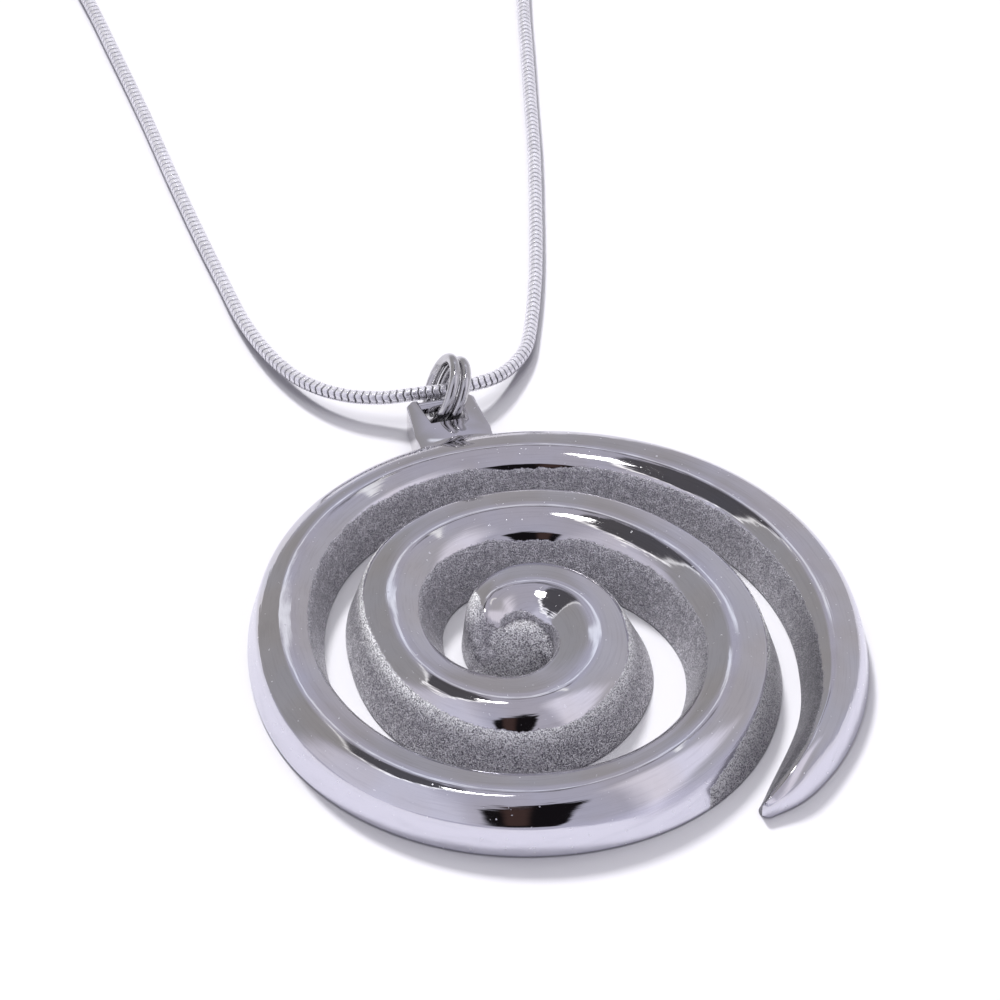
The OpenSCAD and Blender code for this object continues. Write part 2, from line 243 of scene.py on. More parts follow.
def steel_colour(name, about, code):
    """A colour property for one steel finish."""
    return FloatVectorProperty(
        name=name, description=about, subtype="COLOR", size=4, min=0, max=1, default=linear(code))


def length(name, about, millimetres, low, high):
    """A length property in metres, given in millimetres."""
    return FloatProperty(
        name=name, description=about, default=millimetres * MM, min=low * MM, max=high * MM,
        precision=5, unit="LENGTH", subtype="DISTANCE")


def angle(name, about, degrees, low, high):
    """An angle property, given in degrees."""
    return FloatProperty(
        name=name, description=about, default=math.radians(degrees), min=math.radians(low),
        max=math.radians(high), unit="ROTATION", subtype="ANGLE")


def strength(name, about, default):
    """A property for the strength of a light."""
    return FloatProperty(name=name, description=about, default=default, min=0)


class PendantSettings(PropertyGroup):
    """Sizes and finishes of the cast pendant."""

    crest_height: length(
        "Crest height", "Height of the band where it is thickest", DRAWN_CREST, 4.6, 5.1)
    lug_height: length("Lug height", "Height of the lug over the back", 2.8, 2.7, 2.9)
    lug_width: length("Lug width", "Width of the lug at its far end", 5.9, 5.7, 6.1)
    hole_width: length("Hole width", "Width of the lug's hole, along the crossbar", 3.4, 3.3, 3.5)
    bar_thickness: length("Bar thickness", "Thickness of the crossbar", 0.9, 0.8, 0.95)
    station_step: FloatProperty(
        name="Section step", description="Degrees round the spiral between sections",
        default=1.5, min=0.5, max=6)
    polished: steel_colour("Polished steel", "Reflection colour of the mirror-polished top", "#C9C9D0")
    blasted: steel_colour("Blasted steel", "Reflection colour of the sand-blasted walls", "#ECEAEE")


class RingSettings(PropertyGroup):
    """Sizes and finish of the two jump rings."""

    radius: length("Ring radius", "Radius of the centreline of a jump ring", 2.75, 2.7, 2.8)
    wire: length("Wire", "Thickness of the jump rings' wire", 0.9, 0.8, 0.95)
    pitch: length("Pitch", "Distance from one jump ring to the other", 1, 0.95, 1.1)
    lean: angle("Lean", "How far the jump rings lean to the right", 25, 24, 26)
    colour: steel_colour("Ring steel", "Reflection colour of the rings' wire", "#C6C5C6")


class ChainSettings(PropertyGroup):
    """Sizes and finish of the snake chain."""

    width: length("Width", "Thickness of the snake chain", 1.2, 1, 1.2)
    pitch: length("Pitch", "Distance from one link to the next", 0.59, 0.5, 0.8)
    colour: steel_colour("Chain steel", "Reflection colour of the links", "#E4E3E8")


class ClaspSettings(PropertyGroup):
    """Sizes and finish of the end caps, the small rings and the clasp."""

    cap_length: length("Cap length", "Length of an end cap", 4, 3.5, 5)
    cap_width: length("Cap width", "Thickness of an end cap", 1.9, 1.8, 2.1)
    barrel_width: length("Barrel width", "Thickness of the clasp's barrel", 2.3, 2.1, 2.3)
    ring_radius: length("Ring radius", "Radius of the centreline of a small ring", 1.6, 1.5, 1.7)
    ring_wire: length("Ring wire", "Thickness of the small rings' wire", 0.7, 0.6, 0.75)
    colour: steel_colour("Clasp steel", "Reflection colour of the caps and the clasp", "#C2C1C3")


class StageSettings(PropertyGroup):
    """Floor, lights and camera."""

    floor: steel_colour("Floor", "Colour of the floor", "#A7A6AA")
    surroundings: steel_colour("Surroundings", "Colour of the soft light from all sides", "#EBE9FA")
    sky_strength: strength("Soft light", "Strength of the light from all sides", 0.74)
    key_strength: strength("Key light", "Strength of the key light, in W/m2", 6.4)
    key_angle: angle("Key size", "How large the key light looks from the pendant", 8, 0, 180)
    fill_strength: strength("Fill light", "Strength of the broad light overhead, in W/m2", 2.6)
    lens: FloatProperty(
        name="Lens", description="Focal length of the camera", default=172.8, min=20,
        unit="CAMERA")
    distance: length("Distance", "From the camera to the middle of the picture", 400, 100, 2000)
    elevation: angle("Elevation", "Angle of the camera over the floor", 41.7, 0, 90)


def held(x):
    """A number held between 0 and 1."""
    return min(max(x, 0), 1)


def bend(start, corner, end, t):
    """A point a share t of the way along a bend that leaves and arrives in line with a corner."""
    return start * (1 - t) ** 2 + corner * 2 * t * (1 - t) + end * t * t


def smooth_between(u, h, one, one_slope, two, two_slope):
    """A smooth curve a share u of the way between two values that lie h apart."""
    return (
        (1 + 2 * u) * (1 - u) ** 2 * one + u * (1 - u) ** 2 * h * one_slope
        + u * u * (3 - 2 * u) * two + u * u * (u - 1) * h * two_slope
    )


def row_before(table, x):
    """Number of a table's last row that starts at x or before it."""
    return max(k for k in range(len(table) - 1) if x >= table[k][0] or k == 0)


def smooth_column(table, x, c):
    """Smooth curve through column c of a table, at x along its first column."""
    i = row_before(table, x)

    def slope(k):
        before, after = max(k - 1, 0), min(k + 1, len(table) - 1)
        return (table[after][c] - table[before][c]) / (table[after][0] - table[before][0])

    h = table[i + 1][0] - table[i][0]
    u = (x - table[i][0]) / h
    return smooth_between(u, h, table[i][c], slope(i), table[i + 1][c], slope(i + 1))


def straight_column(table, x, c):
    """Straight lines through column c of a table, at x along its first column."""
    i = row_before(table, x)
    u = (x - table[i][0]) / (table[i + 1][0] - table[i][0])
    return table[i][c] + min(u, 1) * (table[i + 1][c] - table[i][c])


def band_middle(a):
    """Middle of the band at an angle from the inner end, in millimetres."""
    turn = math.radians(180 - a)
    radius = smooth_column(PLAN, a, 1)
    return Vector((POLE[0] + radius * math.cos(turn), POLE[1] + radius * math.sin(turn)))


def band_section(a, across, upward):
    """The band's section at an angle, as (outward, up, shine, across, wall) from the back round the
    outer foot, up the outer wall, over the domed top and down the inner wall. Shine is the
    distance over the line where the blasting stops, below zero where blasted, across is the
    distance outward from the crest, and wall is 1 on the outer wall and 0 on the top."""
    w = across * smooth_column(PLAN, a, 2)
    zo, io, zc, share, zi, ii = (smooth_column(PROFILE, a, c) for c in range(1, 7))
    zo, zc, zi = upward * zo, upward * zc, upward * zi
    outer = Vector((w / 2 - across * io, zo))
    inner = Vector((-w / 2 + across * ii, zi))
    crest = Vector((outer.x + share * (inner.x - outer.x), zc))
    ends = TIP_ROUNDING + (1 - TIP_ROUNDING) * across
    round_out, round_in = (smooth_column(ROUNDING, a, c) * ends for c in (1, 2))
    limit_out = straight_column(BLAST, a, 1)
    limit_in = straight_column(BLAST, a, 2)

    def dome(edge, u):
        """A point of the top from an edge (u = 0) to the crest (u = 1), and its direction."""
        power = DOME_POWER - (0.3 * held((110 - a) / 40) if edge.x < crest.x else 0)
        rise, soft = crest.y - edge.y, CREST_ROUND * (1 - 0.6 * held((a - 740) / 60))
        left = (1 - u) ** 2 + soft ** 2
        whole = (1 + soft ** 2) ** (power / 2) - soft ** power
        fall = (left ** (power / 2) - soft ** power) / whole
        slope = power * (1 - u) * left ** (power / 2 - 1) / whole
        point = Vector((edge.x + (crest.x - edge.x) * u, edge.y + rise * (1 - fall)))
        return point, Vector((crest.x - edge.x, rise * slope)).normalized()

    def side(foot, edge, size, limit):
        """Points from the back, round the foot, up the wall, round the edge and up to the crest."""
        inward = math.copysign(1, edge.x - foot.x)
        wall = foot - edge
        tall = wall.length
        wall = wall.normalized()
        span = abs(crest.x - edge.x)
        size = min(size, 0.45 * tall, 0.45 * span)
        start = edge + wall * size
        under = min(FOOT_ROUND, 0.1 * w, 0.3 * tall)
        low = edge + wall * (tall - 1.2 * under)
        heel = foot + Vector((inward * under, 0))
        points = [bend(heel, foot, low, k / FOOT_POINTS) for k in range(FOOT_POINTS)]
        points += [low + (start - low) * (k / WALL_POINTS) for k in range(WALL_POINTS)]
        points = [(p, -(p - edge).length - limit) for p in points]
        u0 = size / max((crest - edge).length, 1e-6)
        end, way = dome(edge, u0)
        turn = wall.x * way.y - wall.y * way.x
        offset = end - start
        reach = (offset.x * way.y - offset.y * way.x) / turn
        corner = start + wall * reach
        for k in range(EDGE_POINTS):
            t = k / EDGE_POINTS
            points.append((bend(start, corner, end, t), (2 * t - 1) * size - limit))
        for k in range(TOP_POINTS):
            u = u0 + (1 - u0) * (k / TOP_POINTS)
            p = dome(edge, u)[0]
            points.append((p, (p - edge).length - limit))
        return points

    outer_foot, inner_foot = Vector((w / 2, 0)), Vector((-w / 2, 0))
    up_side = side(outer_foot, outer, round_out, limit_out)
    down_side = side(inner_foot, inner, round_in, limit_in)
    crest_shine = min((crest - outer).length - limit_out, (crest - inner).length - limit_in)
    points = [(inner_foot.lerp(outer_foot, t), POLISHED) for t in (0.3, 0.5, 0.7)]
    points += up_side + [(crest, crest_shine)] + down_side[::-1]
    walls = [held((outer.y + 0.2 - p.y) / 0.5) if p.x > crest.x else 0 for p, shine in points]
    return [(p.x, p.y, shine, p.x - crest.x, wall) for (p, shine), wall in zip(points, walls)]


def new_object(name, data):
    """A new object at the origin for a mesh, a curve, a lamp or a camera."""
    made = bpy.data.objects.new(name, data)
    bpy.context.scene.collection.objects.link(made)
    return made


def finish_piece(piece, material, node):
    """Sets a piece's material, body, CAD node and slot."""
    piece.data.materials.clear()
    piece.data.materials.append(material)
    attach(piece, "root")
    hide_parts(node)


def finished_mesh(name, made):
    """A smooth-shaded mesh from a bmesh, its faces turned outwards."""
    bmesh.ops.recalc_face_normals(made, faces=made.faces)
    mesh = bpy.data.meshes.new(name)
    made.to_mesh(mesh)
    made.free()
    mesh.shade_smooth()
    return mesh


def mesh_from(name, points, faces):
    """A mesh from points in millimetres and faces."""
    made = bmesh.new()
    corners = [made.verts.new(Vector(p) * MM) for p in points]
    for face in faces:
        made.faces.new([corners[k] for k in face])
    return finished_mesh(name, made)


def turns(count):
    """Angles of evenly spaced points round a circle."""
    return [2 * math.pi * k / count for k in range(count)]


def grid_faces(rings, n, first=0, closed=False):
    """Quads over rings of n points each, from a first point on, and back to the first ring where
    they are closed."""
    faces = []
    for i in range(rings if closed else rings - 1):
        one, two = first + i * n, first + (i + 1) % rings * n
        faces += [(one + j, two + j, two + (j + 1) % n, one + (j + 1) % n) for j in range(n)]
    return faces


def skin_faces(rings, n):
    """Quads over rings of n points each, and one face over each end."""
    return grid_faces(rings, n) + [tuple(range(n)), tuple(range((rings - 1) * n, rings * n))]


def set_finish(mesh, shines, streaks=None):
    """Attributes of a mesh: shine, and polish, which is the place across and along the band in
    millimetres and the outer wall's share."""
    mesh.attributes.new("shine", "FLOAT", "POINT").data.foreach_set("value", shines)
    polish = mesh.attributes.new("polish", "FLOAT_VECTOR", "POINT")
    polish.data.foreach_set("vector", streaks or [0.0] * 3 * len(mesh.vertices))


def over_nose_line(x, y):
    """Distance over the line where the inner end's blasting stops, below zero where blasted."""
    nearest = None
    for (ax, ay), (bx, by) in zip(NOSE_LINE, NOSE_LINE[1:]):
        reach = math.hypot(bx - ax, by - ay)
        over = ((bx - ax) * (y - ay) - (by - ay) * (x - ax)) / reach
        nearest = over if nearest is None else min(nearest, over)
    return nearest


def band_mesh(step, height):
    """The spiral band with its rounded ends, and its shine attribute."""
    stations = []
    for e in END_ANGLES[::-1]:
        stations.append((0, -NOSE_LENGTH * math.sin(math.radians(e)), e))
    count = round(LAST_ANGLE / step)
    for k in range(count + 1):
        stations.append((LAST_ANGLE * k / count, 0, 0))
    for e in END_ANGLES:
        stations.append((LAST_ANGLE, TAIL_LENGTH * math.sin(math.radians(e)), e))
    points, shines, streaks = [], [], []
    for a, ahead, e in stations:
        across = math.cos(math.radians(e))
        upward = height * (TIP_HEIGHT + (1 - TIP_HEIGHT) * across)
        way = band_middle(min(a + 0.5, LAST_ANGLE)) - band_middle(max(a - 0.5, 0))
        way.normalize()
        spot = band_middle(a) + way * ahead
        ring = band_section(a, across, upward)
        points += [(spot.x - way.y * p[0], spot.y + way.x * p[0], p[1]) for p in ring]
        for p, spot_at in zip(ring, points[-len(ring):]):
            shine = p[2]
            if a < NOSE_END:
                shine = min(shine, over_nose_line(spot_at[0] - POLE[0], spot_at[1] - POLE[1]))
            shines.append(shine)
            streaks += [p[3], math.radians(a) * smooth_column(PLAN, a, 1), p[4]]
    mesh = mesh_from("spiral_band", points, skin_faces(len(stations), len(ring)))
    set_finish(mesh, shines, streaks)
    return mesh


def core_mesh(height):
    """The slope at the inner end, rounded at its edges and blasted all over."""
    made = bmesh.new()
    for x, y, z in CORE:
        made.verts.new(Vector((POLE[0] + x, POLE[1] + y, z * height)) * MM)
    hull = bmesh.ops.convex_hull(made, input=made.verts)
    spare = [v for v in made.verts if not v.link_faces]
    bmesh.ops.delete(made, geom=spare, context="VERTS")
    bmesh.ops.dissolve_limit(made, angle_limit=math.radians(2), verts=made.verts, edges=made.edges)
    edges = [e for e in made.edges if min(v.co.z for v in e.verts) > 0.5 * MM]
    bmesh.ops.bevel(
        made, geom=edges, offset=CORE_ROUND * MM, segments=4, profile=0.5, affect="EDGES")
    mesh = finished_mesh("core", made)
    set_finish(mesh, [BLASTED] * len(mesh.vertices), [0.0, 0.0, 1.0] * len(mesh.vertices))
    return mesh


def lug_frame(unit):
    """The lug's frame, with +X outward from the pole and +Y to the left. A unit of MM gives it in
    metres, and 1 in millimetres."""
    return Matrix.Translation(Vector((POLE[0], POLE[1], 0)) * unit) @ Matrix.Rotation(
        math.radians(LUG_ANGLE), 4, "Z")


def placed_lug_mesh(mesh):
    """A mesh of the lug put in its place, with its corners kept and polished all over."""
    mesh.transform(lug_frame(MM))
    mesh.set_sharp_from_angle(angle=math.radians(50))
    set_finish(mesh, [POLISHED] * len(mesh.vertices))
    return mesh


def lug_mesh(settings):
    """The cast lug: a plate with a notch in its far end, and a crossbar over the notch."""
    high = settings.lug_height / MM
    half = settings.lug_width / MM / 2
    hole = settings.hole_width / MM / 2
    thick = settings.bar_thickness / MM
    foot = LUG_FOOT_WIDTH / 2
    outline = [
        (LUG_ROOT - 1.5, -foot), (LUG_FOOT, -foot),
        (LUG_END - LUG_CORNER, -half), (LUG_END, -half + LUG_CORNER),
        (LUG_END, HOLE_SIDE - hole), (HOLE_START, HOLE_SIDE - hole),
        (HOLE_START, HOLE_SIDE + hole), (LUG_END, HOLE_SIDE + hole),
        (LUG_END, half - LUG_CORNER), (LUG_END - LUG_CORNER, half),
        (LUG_FOOT, foot), (LUG_ROOT - 1.5, foot),
    ]
    made = bmesh.new()
    low = [made.verts.new((x * MM, y * MM, 0)) for x, y in outline]
    top = [made.verts.new((x * MM, y * MM, (high + LUG_FALL * (LUG_END - x)) * MM)) for x, y in outline]
    n = len(outline)
    made.faces.new(low[::-1])
    made.faces.new(top)
    for k in range(n):
        made.faces.new((low[k], low[(k + 1) % n], top[(k + 1) % n], top[k]))
    upper = [e for e in made.edges if min(v.co.z for v in e.verts) > 0.5 * high * MM]
    upright = [e for e in made.edges if abs(e.verts[0].co.z - e.verts[1].co.z) > 0.5 * high * MM]
    bmesh.ops.bevel(
        made, geom=upper + upright, offset=LUG_ROUND * MM, segments=4, profile=0.5,
        affect="EDGES")
    sides, rings = 20, 13
    c = thick / 2
    reach = hole + 0.5
    bar = []
    for k in range(rings):
        t = -1 + 2 * k / (rings - 1)
        y = HOLE_SIDE + reach * t
        swell = 1 + BAR_SWELL * max(0, abs(t) - 0.72) / 0.28
        for turn in turns(sides):
            over, up = math.cos(turn), math.sin(turn)
            flat = (abs(over) ** BAR_POWER + abs(up) ** BAR_POWER) ** (-1 / BAR_POWER)
            x = BAR_START + c + c * flat * over * swell
            z = BAR_TOP - c + c * flat * up
            bar.append(made.verts.new((x * MM, y * MM, z * MM)))
    for face in skin_faces(rings, sides):
        made.faces.new([bar[j] for j in face])
    return placed_lug_mesh(finished_mesh("lug", made))


def lug_blend_mesh(settings, height):
    """The hollow curve between the dome and the lug's top, where the two were cast as one."""
    points = []
    slices = 17
    for k in range(slices):
        side = 2 * k / (slices - 1) - 1
        turn = math.radians(HOLLOW_HALF_ANGLE * side)
        a = 720 + 180 - LUG_ANGLE - math.degrees(turn)
        zo, io, zc, share, zi, ii = (smooth_column(PROFILE, a, c) for c in range(1, 7))
        w = smooth_column(PLAN, a, 2)
        edge = smooth_column(PLAN, a, 1) + w / 2 - io
        span = share * (w - io - ii)
        rise = height * (zc - zo)
        left = 1 - HOLLOW_START
        slope = DOME_POWER * rise / span * left ** (DOME_POWER - 1)
        start = Vector((
            edge - HOLLOW_START * span, height * zo + rise * (1 - left ** DOME_POWER)))
        high = settings.lug_height / MM + LUG_FALL * (LUG_END - start.x) - 0.2 * abs(side) ** 8
        reach = (start.y - high) / (slope - LUG_FALL)
        corner = start + Vector((reach, -slope * reach))
        end = corner + Vector((1.3 * reach, -1.3 * reach * LUG_FALL))
        ring = [Vector((end.x, end.y - 0.6)), Vector((start.x, end.y - 0.6))]
        ring += [bend(start, corner, end, j / 8) for j in range(9)]
        points += [(p.x * math.cos(turn), p.x * math.sin(turn), p.y) for p in ring]
    return placed_lug_mesh(mesh_from("lug_blend", points, skin_faces(slices, len(ring))))


def join_meshes(name, meshes):
    """One object from several meshes, with their attributes kept."""
    pieces = [new_object(mesh.name, mesh) for mesh in meshes]
    with bpy.context.temp_override(
            active_object=pieces[0], object=pieces[0], selected_objects=pieces,
            selected_editable_objects=pieces):
        bpy.ops.object.join()
    pieces[0].name = name
    pieces[0].data.name = name
    return pieces[0]


def torus_points(radius, wire, place, around=112, sides=28):
    """Points and faces of a round wire ring about its own Z axis, put in place by a matrix."""
    points = []
    for turn in turns(around):
        for roll in turns(sides):
            reach = radius + wire / 2 * math.cos(roll)
            spot = (reach * math.cos(turn), reach * math.sin(turn), wire / 2 * math.sin(roll))
            points.append(place @ Vector(spot))
    return points, grid_faces(around, sides, closed=True)


def turned_points(profile, place, sides=48):
    """Points and faces of a shape turned about its own X axis from (along, radius) points, the
    first and the last of which lie on the axis."""
    points = [place @ Vector((profile[0][0], 0, 0))]
    for along, radius in profile[1:-1]:
        for turn in turns(sides):
            points.append(place @ Vector((along, radius * math.cos(turn), radius * math.sin(turn))))
    points.append(place @ Vector((profile[-1][0], 0, 0)))
    last, rings = len(points) - 1, len(profile) - 2
    base = last - sides
    faces = [(0, 1 + s, 1 + (s + 1) % sides) for s in range(sides)]
    faces += grid_faces(rings, sides, first=1)
    faces += [(last, base + (s + 1) % sides, base + s) for s in range(sides)]
    return points, faces


def gather(parts):
    """Points and faces of several parts in one pair of lists."""
    points, faces = [], []
    for some_points, some_faces in parts:
        start = len(points)
        points += some_points
        faces += [tuple(start + k for k in face) for face in some_faces]
    return points, faces


def add_node(tree, kind, links=(), **settings):
    """Adds a node. Settings name its properties, and links its inputs: each is (input,
    socket or value)."""
    made = tree.nodes.new(kind)
    for name, value in settings.items():
        setattr(made, name, value)
    for key, value in links:
        if isinstance(value, bpy.types.NodeSocket):
            tree.links.new(value, made.inputs[key])
        else:
            made.inputs[key].default_value = value
    return made


def steel_material(name):
    """A new all-metal material: its tree, its shader node and the surface position."""
    material = bpy.data.materials.new(name)
    material.use_nodes = True
    tree = material.node_tree
    tree.nodes.clear()
    shader = add_node(tree, "ShaderNodeBsdfPrincipled", [("Metallic", 1.0)])
    add_node(tree, "ShaderNodeOutputMaterial", [("Surface", shader.outputs["BSDF"])])
    place = add_node(tree, "ShaderNodeTexCoord").outputs["Object"]
    return material, tree, shader, place


def grain(tree, place, size, detail=2.0, rough=0.5, seed=0.0):
    """Noise whose blobs are about size millimetres across, from 0 to 1."""
    made = add_node(
        tree, "ShaderNodeTexNoise",
        [("Vector", place), ("Scale", 1 / (size * MM)), ("Detail", detail), ("Roughness", rough),
         ("W", seed)],
        noise_dimensions="4D")
    return made.outputs["Fac"]


def sum_up(tree, kind, one, two, three=None):
    """A Math node's result."""
    links = [(0, one), (1, two)] + ([(2, three)] if three is not None else [])
    return add_node(tree, "ShaderNodeMath", links, operation=kind).outputs[0]


def ranged(tree, value, low, high, to_low, to_high, kind="LINEAR"):
    """A value mapped from one range to another, and held at its ends."""
    made = add_node(
        tree, "ShaderNodeMapRange",
        [("Value", value), ("From Min", low), ("From Max", high), ("To Min", to_low),
         ("To Max", to_high)],
        interpolation_type=kind)
    return made.outputs["Result"]


def vector_sum(tree, kind, one, two=None):
    """A Vector Math node's result, which is a number for a dot product or a distance."""
    links = [(0, one)] + ([(1, two)] if two is not None else [])
    made = add_node(tree, "ShaderNodeVectorMath", links, operation=kind)
    return made.outputs["Value" if kind in ("DOT_PRODUCT", "DISTANCE") else "Vector"]


def scaled(tree, vector, share):
    """A vector times a number."""
    links = [(0, vector), ("Scale", share)]
    return add_node(tree, "ShaderNodeVectorMath", links, operation="SCALE").outputs[0]


def card_share(tree, spot, corners, soft):
    """1 inside a card with these corners, which go round either way, and 0 outside it."""
    area = sum(ax * by - bx * ay for (ax, ay), (bx, by) in zip(corners, corners[1:] + corners[:1]))
    inside = None
    for (ax, ay), (bx, by) in zip(corners, corners[1:] + corners[:1]):
        reach = math.copysign(math.hypot(bx - ax, by - ay), area)
        nx, ny = (ay - by) / reach, (bx - ax) / reach
        along = vector_sum(tree, "DOT_PRODUCT", spot, (nx, ny, 0))
        over = sum_up(tree, "SUBTRACT", along, nx * ax + ny * ay)
        inside = over if inside is None else sum_up(tree, "MINIMUM", inside, over)
    return ranged(tree, inside, -soft / 2, soft / 2, 0.0, 1.0, "SMOOTHSTEP")


def path_share(tree, spot, path, width, soft):
    """1 within half a width of a path, and 0 away from it."""
    nearest = None
    for (ax, ay), (bx, by) in zip(path, path[1:]):
        along = (bx - ax, by - ay, 0)
        away = vector_sum(tree, "SUBTRACT", spot, (ax, ay, 0))
        square = along[0] ** 2 + along[1] ** 2
        share = ranged(tree, vector_sum(tree, "DOT_PRODUCT", away, along), 0.0, square, 0.0, 1.0)
        gap = vector_sum(tree, "DISTANCE", away, scaled(tree, along, share))
        nearest = gap if nearest is None else sum_up(tree, "MINIMUM", nearest, gap)
    return ranged(tree, nearest, (width + soft) / 2, (width - soft) / 2, 0.0, 1.0, "SMOOTHSTEP")


def blend(tree, share, one, two, kind="RGBA"):
    """Two colours, numbers or vectors mixed by a share from 0 to 1."""
    first, second, result = {"FLOAT": (2, 3, 0), "VECTOR": (4, 5, 1), "RGBA": (6, 7, 2)}[kind]
    links = [("Factor", share), (first, one), (second, two)]
    return add_node(tree, "ShaderNodeMix", links, data_type=kind).outputs[result]


def bumped(tree, height, millimetres, strength=1.0, under=None):
    """The normal of a surface raised by a height from 0 to 1, over another normal."""
    links = [("Strength", strength), ("Distance", millimetres * MM), ("Height", height)]
    if under is not None:
        links.append(("Normal", under))
    return add_node(tree, "ShaderNodeBump", links).outputs["Normal"]


# The noises of the cast steel: size in millimetres, detail, roughness and seed
GRAINS = {
    "ragged": (1.6, 3, 0.6, 1.0),
    "pit": (0.3, 2, 0.6, 2.0),
    "sand": (0.09, 2, 0.6, 3.0),
    "tint": (6, 2, 0.5, 4.0),
    "smear": (1.7, 4, 0.7, 5.0),
    "wave": (3.2, 1, 0.4, 6.0),
    "coarse": (0.6, 4, 0.7, 7.0),
    "fleck": (0.11, 1, 0.5, 8.0),
    "smudge": (3, 4, 0.6, 9.0),
    "dust": (0.3, 1, 0.5, 10.0),
}


def cast_steel(settings):
    """Cast stainless steel. Its top is mirror-polished by hand, so it mirrors in soft waves that
    run along the band, with fine scratches and dust. Its walls are sand-blasted, so they look
    dark and rough and glitter in small grains."""
    material, tree, shader, place = steel_material("cast_stainless_steel")

    def noise(name):
        """One of the noises in GRAINS."""
        return grain(tree, place, *GRAINS[name])

    def times(one, two):
        """Two numbers multiplied."""
        return sum_up(tree, "MULTIPLY", one, two)

    shine = add_node(tree, "ShaderNodeAttribute", attribute_name="shine").outputs["Fac"]
    polish = add_node(tree, "ShaderNodeAttribute", attribute_name="polish").outputs["Vector"]
    ragged = ranged(tree, noise("ragged"), 0.2, 0.8, -0.16, 0.16)
    pit = ranged(tree, noise("pit"), 0.3, 0.7, -0.08, 0.08)
    line = sum_up(tree, "ADD", sum_up(tree, "ADD", shine, ragged), pit)
    blasted = ranged(tree, line, -0.16, 0.08, 1.0, 0.0, "SMOOTHSTEP")

    # Blasted walls: grains of about 0.1 mm, with a painted highlight that lightens them towards their
    # upper border
    sand, coarse = noise("sand"), noise("coarse")
    places = add_node(tree, "ShaderNodeSeparateXYZ", [(0, polish)]).outputs
    wall = places["Z"]
    outward = sum_up(tree, "MAXIMUM", wall, ranged(tree, places["X"], 0.2, 1.0, 0.0, 1.0))
    pits = blend(tree, wall, linear("#818086"), linear("#5E5C62"))
    walls = blend(tree, ranged(tree, sand, 0.41, 0.6, 0.0, 1.0), pits, settings.blasted)
    walls = blend(tree, ranged(tree, coarse, 0.4, 0.6, 0.5, 1.0), linear("#807E85"), walls)
    fleck = ranged(tree, noise("fleck"), 0.58, 0.68, 0.0, 1.0)
    fleck = times(fleck, ranged(tree, wall, 0.0, 1.0, 0.35, 1.0))
    # Painted highlight: white in grains towards the line where the blasting stops, most on the outer walls
    painted_glow = ranged(tree, shine, -1.6, -0.2, 0.0, 1.0)
    painted_glow = times(times(painted_glow, ranged(tree, sand, 0.44, 0.56, 0.1, 1.0)), outward)

    # Painted shade: the walls are darkened towards a dark grey in the narrow gap along the tail
    gap = vector_sum(tree, "DOT_PRODUCT", place, (1, -1, 0))
    gap = ranged(tree, gap, 12 * MM, 24 * MM, 0.0, 0.62)
    gap = times(gap, ranged(tree, wall, 0.0, 1.0, 1.0, 0.5))
    for share, code in ((fleck, "#FFFFFF"), (painted_glow, "#FFFFFF"), (gap, "#3C3B40")):
        walls = blend(tree, share, walls, linear(code))

    # Polished top: waves along the band from hand polishing, and a slight warm and cool tint
    stretched = add_node(
        tree, "ShaderNodeMapping", [("Vector", polish), ("Scale", (1.0, 0.03, 1.0))])
    streak, hair = (
        add_node(
            tree, "ShaderNodeTexNoise",
            [("Vector", stretched.outputs["Vector"]), ("Scale", scale), ("Detail", detail),
             ("Roughness", rough)]).outputs["Fac"]
        for scale, detail, rough in ((1.1, 4.0, 0.55), (5.0, 3.0, 0.6))
    )
    tint = ranged(tree, noise("tint"), 0.38, 0.62, 0.0, 1.0)
    smudge = ranged(tree, noise("smudge"), 0.42, 0.7, 0.0, 0.14)
    lines = ranged(tree, hair, 0.35, 0.5, 0.1, 0.0)
    dust = ranged(tree, noise("dust"), 0.72, 0.78, 0.0, 0.8)
    top = blend(tree, tint, linear("#C6C3C4"), settings.polished)
    # Painted sheen: the outer wall gets a lighter steel colour than the top, so it looks brighter
    layers = ((smudge, "#E4E2E8"), (wall, "#D6D5DF"), (lines, "#8E8C92"), (dust, "#F4F4F8"))
    for share, code in layers:
        top = blend(tree, share, top, linear(code))
    tree.links.new(blend(tree, blasted, top, walls), shader.inputs["Base Color"])

    smear = ranged(tree, noise("smear"), 0.4, 0.75, 0.035, 0.08)
    smear = sum_up(tree, "MULTIPLY_ADD", wall, 0.14, smear)
    smear = sum_up(tree, "MULTIPLY_ADD", dust, 0.5, smear)
    sparkle = ranged(tree, fleck, 0.0, 1.0, 0.42, 0.25)
    tree.links.new(blend(tree, blasted, smear, sparkle, "FLOAT"), shader.inputs["Roughness"])
    scatter = sum_up(tree, "MULTIPLY_ADD", sum_up(tree, "MAXIMUM", painted_glow, fleck), 0.4, 0.12)
    metal = sum_up(tree, "SUBTRACT", 1.0, times(blasted, scatter))
    tree.links.new(metal, shader.inputs["Metallic"])

    mirror = bumped(tree, noise("wave"), 0.03)
    mirror = bumped(tree, streak, 0.03, 1.0, mirror)
    mirror = bumped(tree, hair, 0.002, 1.0, mirror)
    sanded = bumped(tree, sum_up(tree, "MULTIPLY_ADD", coarse, 0.9, sand), 0.15)
    tree.links.new(blend(tree, blasted, mirror, sanded, "VECTOR"), shader.inputs["Normal"])
    return material


